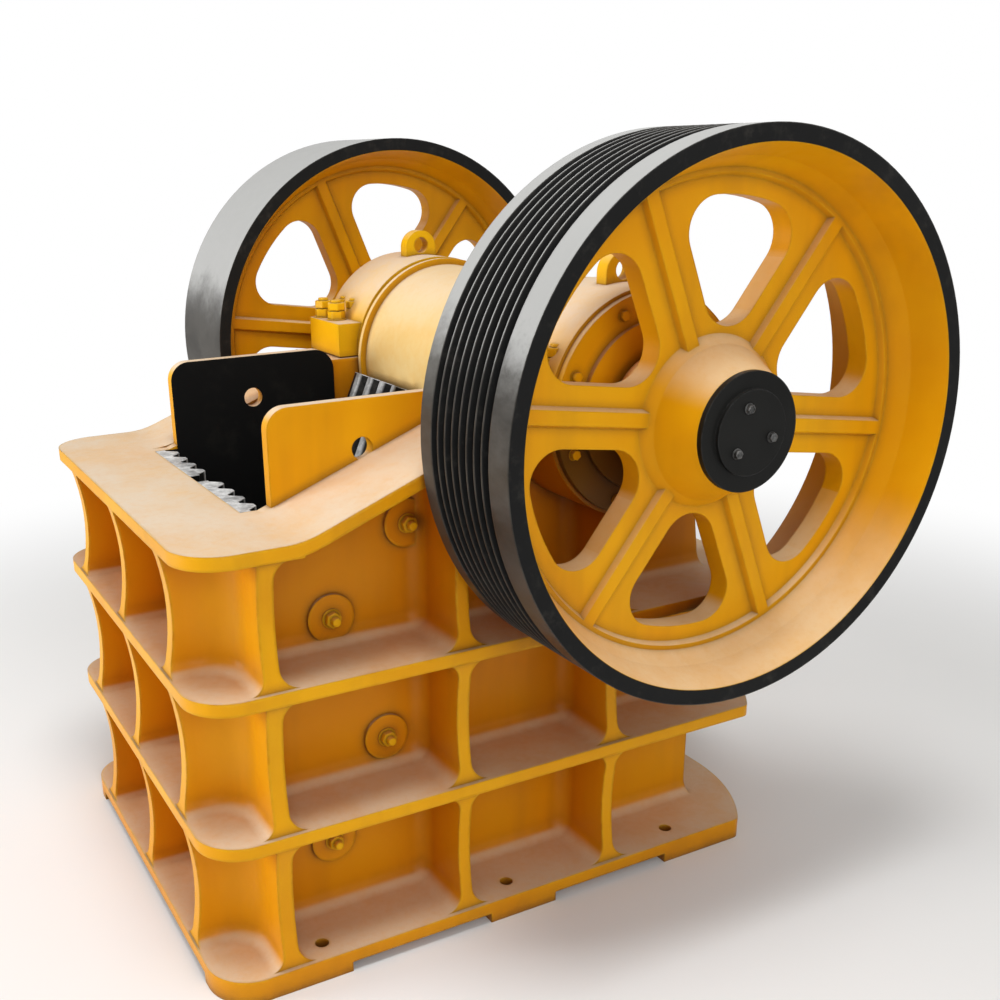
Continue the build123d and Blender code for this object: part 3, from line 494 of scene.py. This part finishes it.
def makeBlack(name):
    roughness = 0.42
    material, tree, shader = startMaterial(name, roughness=roughness, coat=0.03, specular=0.15)
    cast = groupNode(tree, castGrain)
    edge = groupNode(tree, edgeWear, Radius=0.004, Scale=45.0)
    dust = groupNode(tree, settledDust, Amount=0.03)
    faded = tuple(c * 2.0 for c in blackTones["base"])
    mixed = mixColour(tree, cast.outputs["Drift"], blackTones["base"], faded)
    mixed = mixColour(tree, dust.outputs["Mask"], mixed, blackTones["dust"])
    worn = mathNode(tree, "MULTIPLY", edge.outputs["Mask"], 0.6)
    mixed = mixColour(tree, worn, mixed, blackTones["worn"])
    tree.links.new(mixed, shader.inputs["Base Color"])
    rough = rangeNode(tree, cast.outputs["Drift"], 0.0, 1.0, roughness - 0.06, roughness + 0.1)
    tree.links.new(rough, shader.inputs["Roughness"])
    addBump(tree, shader, cast.outputs["Height"], 0.12, 0.003, edge.outputs["Normal"])
    return material


cheekTones = {"black": (0.0020, 0.0020, 0.0020), "scuffed": (0.012, 0.011, 0.009)}


def makeCheekPaint(name):
    # yellow outside and on the edges, black on the face that looks into the chamber
    material, tree, shader = startMaterial(name, roughness=0.4)
    place, x = objectParts(tree)[:2]
    absX = mathNode(tree, "ABSOLUTE", x)
    face = machine["cheekInnerX"]
    inner = rangeNode(tree, absX, face + 0.0012, face + 0.0006, smooth=False)
    colour, cast, _, edge = paintColour(tree, grimeAmount=0.3, closedAmount=0.15, dirtAmount=0.3)
    scuffs = rangeNode(tree, noiseNode(tree, place, 9.0, 8.0, 0.7), 0.50, 0.85)
    black = mixColour(tree, scuffs, cheekTones["black"], cheekTones["scuffed"])
    tree.links.new(mixColour(tree, inner, colour, black), shader.inputs["Base Color"])
    tree.links.new(rangeNode(tree, inner, 0.0, 1.0, 0.4, 0.7, smooth=False), shader.inputs["Roughness"])
    addBump(tree, shader, cast.outputs["Height"], 0.10, 0.003, edge.outputs["Normal"])
    return material


framePaint = makeFramePaint("framePaint")
castPaint = makePaint("castPaint")
fresh = ("fresh", "freshLit")
housingPaint = makePaint(
    "housingPaint", bump=0.12, seam=machine["seatZ"], grimeAmount=0.4, closedAmount=0.4, tones=fresh,
    dustStart=0.25, dustEnd=0.80, dirtAmount=0.4)
# the barrel's pale coat of dust and painted light reaches far down its sides
barrelPaint = makePaint(
    "barrelPaint", bump=0.05, grimeAmount=0.3, closedAmount=0.2, dustStart=-0.90, dustEnd=0.10,
    dustAmount=0.95, dirtAmount=0.0, dustTone=(0.79, 0.58, 0.26), topDust=0.7)
boltPaint = makePaint(
    "boltPaint", bump=0.05, dustAmount=0.3, grimeAmount=0.3, closedAmount=0.3, tones=fresh)
wheelPaint = makeWheelPaint("wheelPaint")
cheekPaint = makeCheekPaint("cheekPaint")
jawSteel = makeSteel(
    "jawSteel", light=(0.16, 0.16, 0.155), dark=(0.03, 0.03, 0.03), roughness=0.5, metallic=0.35)
turnedSteel = makeSteel("turnedSteel")
fixedTeeth = makeToothSteel("fixedTeeth", {
    "point": (shaftY - 0.745, 0.165), "inward": (-1.0, 0.0), "upward": (0.0, 1.0), "length": 0.788})
movingTeeth = makeToothSteel("movingTeeth", {
    "point": (shaftY - 0.680, 0.170), "inward": (0.9201, -0.3918), "upward": (0.3918, 0.9201),
    "length": 1.0108})
blackPaint = makeBlack("blackPaint")
rubbedBlack = makeSteel(
    "rubbedBlack", light=(0.20, 0.20, 0.195), dark=(0.02, 0.02, 0.02), roughness=0.35, metallic=0.5,
    scale=60.0)
print("finishes made")

finishes = {
    "frame": framePaint, "pitman": barrelPaint,
    "bearing_cap_left": housingPaint, "bearing_cap_right": housingPaint,
    "bearing_cover_left": housingPaint, "bearing_cover_right": housingPaint,
    "lifting_eye_left": boltPaint, "lifting_eye_right": boltPaint,
    "upper_cheek_plate_left": cheekPaint, "upper_cheek_plate_right": cheekPaint,
    "lower_cheek_plate_left": jawSteel, "lower_cheek_plate_right": jawSteel,
    "fixed_jaw_plate": fixedTeeth, "moving_jaw_plate": movingTeeth,
    "grooved_flywheel": wheelPaint, "plain_flywheel": wheelPaint,
    "hub_plate_left": blackPaint, "hub_plate_right": blackPaint,
    "toggle_plate": castPaint,
}
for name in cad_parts:
    node = bpy.data.objects[name]
    node.data.materials.clear()
    node.data.materials.append(finishes.get(name, turnedSteel))


def finish(bm, name, material, body, bevel=0.0):
    # turns the bmesh into a piece that rides on a body; bevel rounds its sharp edges
    if bevel > 0:
        sharp = 0.5
        edges = [e for e in bm.edges if len(e.link_faces) == 2 and e.calc_face_angle(0) > sharp]
        bmesh.ops.bevel(bm, geom=edges, offset=bevel, affect="EDGES", segments=2, profile=0.5,
                        material=-1)
    bmesh.ops.recalc_face_normals(bm, faces=bm.faces)
    mesh = bpy.data.meshes.new(name)
    bm.to_mesh(mesh)
    bm.free()
    piece = bpy.data.objects.new(name, mesh)
    bpy.context.collection.objects.link(piece)
    mesh.materials.append(material)
    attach(piece, body)
    return piece


def facing(direction):
    # a turn that takes +Z to the given direction
    return Vector((0, 0, 1)).rotation_difference(Vector(direction).normalized()).to_matrix().to_4x4()


def addPrism(bm, place, direction, radius, height, sides, top, turn):
    # a prism that starts at place and grows along direction to the radius top
    matrix = (Matrix.Translation(Vector(place)) @ facing(direction)
              @ Matrix.Translation((0, 0, height / 2)) @ Matrix.Rotation(turn, 4, "Z"))
    bmesh.ops.create_cone(bm, cap_ends=True, segments=sides, radius1=radius,
                          radius2=top, depth=height, matrix=matrix)


def addFastener(bm, place, direction, parts, turn):
    # a stack of washers, hexagons and a bolt end, each turned a little further than the one below
    # each part is sides, radius, height and top radius
    partTurn = 0.35
    along = Vector(direction).normalized()
    base = Vector(place)
    for index, (sides, radius, height, top) in enumerate(parts):
        addPrism(bm, base, along, radius, height, sides, top, turn + partTurn * index)
        base = base + along * height


cheekBolts = {
    "faceX": 0.373, "turn": 0.4, "bevel": 0.0012,
    "points": [(-0.639, 0.725), (-0.462, 0.899), (-0.524, 0.427), (-0.658, 0.211)],
    "parts": [(28, 0.021, 0.003, 0.021), (6, 0.0175, 0.014, 0.0175), (20, 0.0098, 0.013, 0.009)],
}
for side, name in ((-1, "left"), (1, "right")):
    bm = bmesh.new()
    for index, (y, z) in enumerate(cheekBolts["points"]):
        place = (side * cheekBolts["faceX"], shaftY + y, z)
        addFastener(bm, place, (side, 0, 0), cheekBolts["parts"], cheekBolts["turn"] * index)
    finish(bm, "cheek_bolts_" + name, boltPaint, "frame", cheekBolts["bevel"])

capNuts = {
    "lugTop": 1.2053, "turn": 0.3, "bevel": 0.0014,
    "spots": [(0.502, 0.253), (0.432, 0.247), (0.443, 0.190), (0.502, 0.190)],
    "parts": [(28, 0.0255, 0.003, 0.0255), (6, 0.0235, 0.020, 0.0235), (24, 0.0190, 0.0015, 0.0190),
              (6, 0.0235, 0.0185, 0.0235), (20, 0.0135, 0.007, 0.0125)],
}
for side, name in ((-1, "left"), (1, "right")):
    bm = bmesh.new()
    for end in (-1, 1):
        for index, (x, y) in enumerate(capNuts["spots"]):
            place = (side * x, shaftY + end * y, capNuts["lugTop"])
            addFastener(bm, place, (0, 0, 1), capNuts["parts"], capNuts["turn"] * index)
    finish(bm, "cap_nuts_" + name, boltPaint, "frame", capNuts["bevel"])

coverBolts = {
    "faceX": 0.561, "circle": 0.200, "count": 8, "first": 22.5, "bevel": 0.0008,
    "parts": [(24, 0.0125, 0.002, 0.0125), (6, 0.0105, 0.009, 0.0105)],
}
for side, name in ((-1, "left"), (1, "right")):
    bm = bmesh.new()
    for index in range(coverBolts["count"]):
        angle = math.radians(coverBolts["first"] + index * 360 / coverBolts["count"])
        place = (side * coverBolts["faceX"], shaftY + coverBolts["circle"] * math.cos(angle),
                 shaftZ + coverBolts["circle"] * math.sin(angle))
        addFastener(bm, place, (side, 0, 0), coverBolts["parts"], angle)
    finish(bm, "cover_bolts_" + name, boltPaint, "frame", coverBolts["bevel"])

hubBolts = {
    "faceX": 0.856, "circle": 0.048, "angles": [105, -15, 225], "bevel": 0.0012,
    "parts": [(24, 0.0105, 0.0015, 0.0105), (6, 0.0088, 0.007, 0.0088)],
}
for side, name in ((-1, "left"), (1, "right")):
    bm = bmesh.new()
    for degrees in hubBolts["angles"]:
        angle = math.radians(degrees)
        place = (side * hubBolts["faceX"], shaftY + hubBolts["circle"] * math.cos(angle),
                 shaftZ + hubBolts["circle"] * math.sin(angle))
        addFastener(bm, place, (side, 0, 0), hubBolts["parts"], angle)
    finish(bm, "hub_bolts_" + name, rubbedBlack, "rotor", hubBolts["bevel"])

spring = {"radius": 0.052, "wire": 0.0089, "turns": 6, "steps": 24, "z": 0.205}
springLow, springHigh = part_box("tension_spring")
springStart = (spring["radius"], springLow[1] + spring["wire"], spring["z"])
springRun = springHigh[1] - springLow[1] - 2 * spring["wire"]
springSteps = spring["turns"] * spring["steps"]
bm = bmesh.new()
bmesh.ops.create_circle(bm, cap_ends=False, segments=12, radius=spring["wire"],
                        matrix=Matrix.Translation(springStart))
bmesh.ops.spin(bm, geom=bm.verts[:] + bm.edges[:], cent=(0, 0, spring["z"]), axis=(0, 1, 0),
               dvec=(0, springRun / springSteps, 0), angle=math.radians(360 * spring["turns"]),
               steps=springSteps, use_duplicate=False)
bmesh.ops.holes_fill(bm, edges=[e for e in bm.edges if e.is_boundary], sides=20)
coil = finish(bm, "tension_spring_coil", blackPaint, "frame")
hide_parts("tension_spring")
print("small parts made")


# the floor is itself as far as clear, and plain white from white on, in metres from the middle
studio = {"size": 40.0, "clear": 1.7, "white": 3.6}


def makeFloor():
    # the pale floor keeps the shadow close by and runs out to plain white further off
    bm = bmesh.new()
    bmesh.ops.create_grid(bm, x_segments=1, y_segments=1, size=studio["size"])
    mesh = bpy.data.meshes.new("studio_floor")
    bm.to_mesh(mesh)
    bm.free()
    floor = bpy.data.objects.new("studio_floor", mesh)
    bpy.context.collection.objects.link(floor)
    material, tree, shader = startMaterial("paleFloor", roughness=0.9, specular=0.1)
    coord = addNode(tree, "ShaderNodeTexCoord")
    noise = noiseNode(tree, coord.outputs["Object"], 1.2, 3.0)
    tone = mixColour(tree, noise, (0.86, 0.86, 0.855), (0.89, 0.89, 0.885))
    tree.links.new(tone, shader.inputs["Base Color"])
    reach = addNode(tree, "ShaderNodeVectorMath", operation="LENGTH")
    link(tree, coord, "Object", reach, 0)
    far = rangeNode(tree, reach.outputs["Value"], studio["clear"], studio["white"])
    path = addNode(tree, "ShaderNodeLightPath")
    seenFar = mathNode(tree, "MULTIPLY", far, path.outputs["Is Camera Ray"])
    white = addNode(tree, "ShaderNodeEmission", inputs={"Strength": 1.0})
    mix = addNode(tree, "ShaderNodeMixShader")
    tree.links.new(seenFar, mix.inputs[0])
    link(tree, shader, "BSDF", mix, 1)
    link(tree, white, "Emission", mix, 2)
    out = next(node for node in tree.nodes if node.bl_idname == "ShaderNodeOutputMaterial")
    link(tree, mix, "Shader", out, "Surface")
    mesh.materials.append(material)


makeFloor()

# the surround looks white to the camera, in reflections and through glass, and lights softly otherwise
surround = {"seen": 1.0, "soft": 0.44}
world = bpy.context.scene.world or bpy.data.worlds.new("studio")
bpy.context.scene.world = world
world.use_nodes = True
tree = world.node_tree
tree.nodes.clear()
out = addNode(tree, "ShaderNodeOutputWorld")
seen = addNode(tree, "ShaderNodeBackground",
               inputs={"Color": (1.0, 1.0, 1.0, 1), "Strength": surround["seen"]})
soft = addNode(tree, "ShaderNodeBackground",
               inputs={"Color": (1.0, 0.99, 0.97, 1), "Strength": surround["soft"]})
path = addNode(tree, "ShaderNodeLightPath")
whiteTo = mathNode(tree, "MAXIMUM", path.outputs["Is Camera Ray"], path.outputs["Is Glossy Ray"])
whiteTo = mathNode(tree, "MAXIMUM", whiteTo, path.outputs["Is Transmission Ray"])
mix = addNode(tree, "ShaderNodeMixShader")
tree.links.new(whiteTo, mix.inputs[0])
link(tree, soft, "Background", mix, 1)
link(tree, seen, "Background", mix, 2)
link(tree, mix, "Shader", out, "Surface")

lamps = {
    "overhead": {"place": (1.2, -0.8, 5.0), "aim": (0, 0, 0.6), "size": 1.3, "power": 99},
    "side": {"place": (5.0, -1.4, 2.8), "aim": (0.2, 0, 0.8), "size": 3.0, "power": 86},
    "feedEnd": {"place": (-1.6, -5.0, 1.3), "aim": (0, -0.2, 0.7), "size": 2.2, "power": 162},
}
for name, lamp in lamps.items():
    light = bpy.data.lights.new(name, "AREA")
    light.size = lamp["size"]
    light.energy = lamp["power"]
    holder = bpy.data.objects.new(name, light)
    holder.location = lamp["place"]
    aim = Vector(lamp["aim"]) - Vector(lamp["place"])
    holder.rotation_euler = aim.to_track_quat("-Z", "Y").to_euler()
    bpy.context.collection.objects.link(holder)

# the camera fitted to the photograph: metres, degrees, and pixels of its 1000 x 1000 frame
view = {
    "place": (2.43866, -1.36495, 1.60746),
    "yaw": 62.2185, "pitch": -20.2848, "roll": -1.0792,
    "focal": 1180.567, "centreX": 430.834, "centreY": 589.234,
    "pixels": 1000.0, "sensor": 36.0,
}
camera = bpy.data.cameras.new("camera")
camera.sensor_width = view["sensor"]
camera.lens = view["focal"] * view["sensor"] / view["pixels"]
camera.shift_x = (view["pixels"] / 2 - view["centreX"]) / view["pixels"]
camera.shift_y = (view["centreY"] - view["pixels"] / 2) / view["pixels"]
yaw, pitch, roll = (math.radians(view[key]) for key in ("yaw", "pitch", "roll"))
forward = Vector((-math.sin(yaw) * math.cos(pitch), math.cos(yaw) * math.cos(pitch), math.sin(pitch)))
right = Vector((math.cos(yaw), math.sin(yaw), 0.0))
up = right.cross(forward)
rolledRight = right * math.cos(roll) + up * math.sin(roll)
rolledUp = up * math.cos(roll) - right * math.sin(roll)
turn = Matrix((rolledRight, rolledUp, -forward)).transposed().to_4x4()
holder = bpy.data.objects.new("camera", camera)
holder.matrix_world = Matrix.Translation(Vector(view["place"])) @ turn
bpy.context.collection.objects.link(holder)
bpy.context.scene.camera = holder
bpy.context.scene.view_settings.view_transform = "Standard"
print("stage, lamps and camera set")
